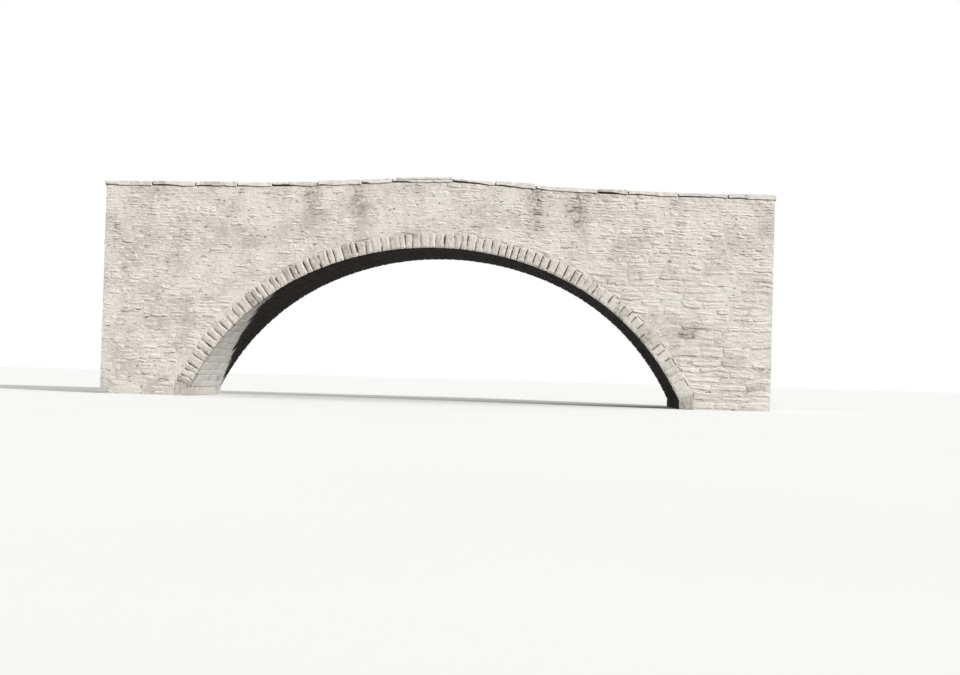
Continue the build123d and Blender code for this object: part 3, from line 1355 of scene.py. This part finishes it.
def coping_flags(side, seed):
    """The rough flags of one parapet, laid on the seats of the model's flags."""
    draw = random.Random(seed)
    sheet = Sheet(side + "_coping_stones")
    names = flag_names(side)
    middle = facings[side] * (wall_face + parapet_inner_face) / 2
    reach = (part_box(names[0])[1][1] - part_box(names[0])[0][1]) / 2
    for name in names:
        (left_x, left_z), (right_x, right_z), thickness = flag_feet(name)
        length = hypot(right_x - left_x, right_z - left_z)
        along_x, along_z = (right_x - left_x) / length, (right_z - left_z) / length
        tone = draw.uniform(*flag_tones)
        for outline, foot, top in flag_slabs(length, reach, thickness, draw):

            def put(u, v):
                return left_x + along_x * u, middle + v, left_z + along_z * u + foot(u, v)

            def out(u, v):
                return 0, 0, 1

            sheet.add(outline, put, out, lambda u, v: top(u, v) - foot(u, v), tone)
    sizes = {"joint": 0.01, "bevel": 0.01, "crown": 0.004, "crown_inset": 0.05}
    piece = grown(sheet, bellied_stones, coping_stone, "coping_stone", **sizes)
    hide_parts(*names)


def coping_mortar(side):
    """What is left of the mortar under the flags and between their ends, well inside their faces."""
    middle = facings[side] * (wall_face + parapet_inner_face) / 2
    feet = list(zip(*seat_lines[side]))

    def section(x, z, half, high):
        corners = ((-half, 0), (half, 0), (half, high), (-half, high))
        return [(x, middle + across, z + up) for across, up in corners]

    bars = [[section(x, z - bed_sink, bed_half_width, bed_height) for x, z in feet]]
    heights = [flag_feet(name)[2] - end_sink for name in flag_names(side)]
    for (x, z), (next_x, next_z), high in zip(feet[1:-1:2], feet[2::2], map(min, heights, heights[1:])):
        bars.append([section(x - end_hold, z, end_half_width, high)])
        bars[-1].append(section(next_x + end_hold, next_z, end_half_width, high))
    # The bars take the ring's mortar finish, so, lying well behind the faces, they are darker from soot
    # and painted shade.
    closed_piece(side + "_coping_mortar", bars, ring_mortar)


coping_flags("front", 71)
coping_flags("back", 72)
coping_mortar("front")
coping_mortar("back")

# %% [markdown]
# ## What stays of the model
#
# The walls, parapets, vault and road keep their solids, which now serve as the mortar between the
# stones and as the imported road. Each gets its own finish. Wheels have pressed two pale, smoother
# tracks into the road.


# %% Packed road
track_from_middle = 0.75
track_half_widths = (0.1, 0.45)
broad_size = 1.4
gravel_size = 0.03
rut_size = 0.25


def gravel_road():
    """Packed gravel with two smoother, paler wheel tracks that wander a little."""
    road = Material("packed_gravel")
    broad = road.noise(broad_size)
    from_track = (road.coordinate(1).size() - track_from_middle + broad * 0.2 - 0.1).size()
    off_track = from_track.smooth(*track_half_widths)
    stones = road.cells(gravel_size, output="Color")
    stone_level = road.node("ShaderNodeSeparateColor", {}, {0: stones})
    dust = (broad * 0.55 + stone_level * 0.45 - off_track * 0.2 + 0.08).smooth(0.2, 0.8)
    base = road.blend(dust, colour(128, 118, 100), colour(194, 184, 163))
    lumps = road.cells(gravel_size).smooth(0.0, 0.6) * (off_track * 0.5 + 0.2)
    return road.finish(base, 0.93, off_track * 0.6 - lumps + road.noise(rut_size) * 0.8, 0.014)


def refinish(material, *names):
    for name in names:
        mesh = nodes[name].data
        mesh.materials.clear()
        mesh.materials.append(material)


walls = [name for name in nodes if name.endswith(("_spandrel", "_parapet", "_abutment"))]
refinish(wall_mortar, *walls)
# The vault's solid takes the mortar that is painted dark as shade.
refinish(soffit_mortar, "barrel_vault")
refinish(gravel_road(), "roadway", "road_fill")
print("mortar on", len(walls), "solids")

# %% [markdown]
# ## Light and floor
#
# The photograph was taken in soft sunshine from the right, which reaches in under the arch to the
# vault's left foot. The lamp is wide, so that shadows under the flags stay soft, and the white
# background belongs to the world alone.


# %% Light
to_the_sun = Vector((0.72, -0.62, 0.5))
sun = bpy.data.objects.new("sun", bpy.data.lights.new("sun", "SUN"))
bpy.context.scene.collection.objects.link(sun)
sun.rotation_euler = to_the_sun.to_track_quat("Z", "Y").to_euler()
sun.data.energy = 2.8
sun.data.angle = radians(5)
print("sun from", [round(value, 2) for value in to_the_sun.normalized()])


def seen_rays(tree):
    """1 for rays that show a surface to the camera, straight or mirrored, and 0 for rays of light."""
    ray = tree.node("ShaderNodeLightPath")
    return ray.larger(ray.sibling("Is Glossy Ray")).larger(ray.sibling("Is Transmission Ray"))


world = bpy.data.worlds.new("studio")
bpy.context.scene.world = world
world.use_nodes = True
sky = Tree(world.node_tree)
soft_light = sky.node("ShaderNodeBackground", {}, {"Color": (1.0, 1.0, 1.0, 1.0), "Strength": 0.55})
white = sky.node("ShaderNodeBackground", {}, {"Color": (1.0, 1.0, 1.0, 1.0), "Strength": 1.0})
either = sky.node("ShaderNodeMixShader", {}, {0: seen_rays(sky), 1: soft_light, 2: white})
world.node_tree.links.new(either.socket, world.node_tree.nodes["World Output"].inputs["Surface"])
bpy.context.scene.view_settings.view_transform = "Standard"

# %% [markdown]
# The floor is pale where it is seen. It throws less light back than it shows, so that the underside
# of the vault stays nearly black, as it is in the photograph.

# %% Floor
floor_reach = 400.0
floor_mesh = bpy.data.meshes.new("floor")
floor_corners = [(x * floor_reach, y * floor_reach, 0) for x, y in ((-1, -1), (1, -1), (1, 1), (-1, 1))]
floor_mesh.from_pydata(floor_corners, [], [range(4)])
floor = bpy.data.objects.new("floor", floor_mesh)
bpy.context.scene.collection.objects.link(floor)
ground = Material("floor")
shown = ground.blend(ground.noise(9.0), colour(249, 249, 247), colour(254, 254, 252))
floor_colour = ground.blend(seen_rays(ground), colour(120, 118, 114), shown)
floor_mesh.materials.append(ground.finish(floor_colour, 0.9, ground.noise(0.2), 0.001))
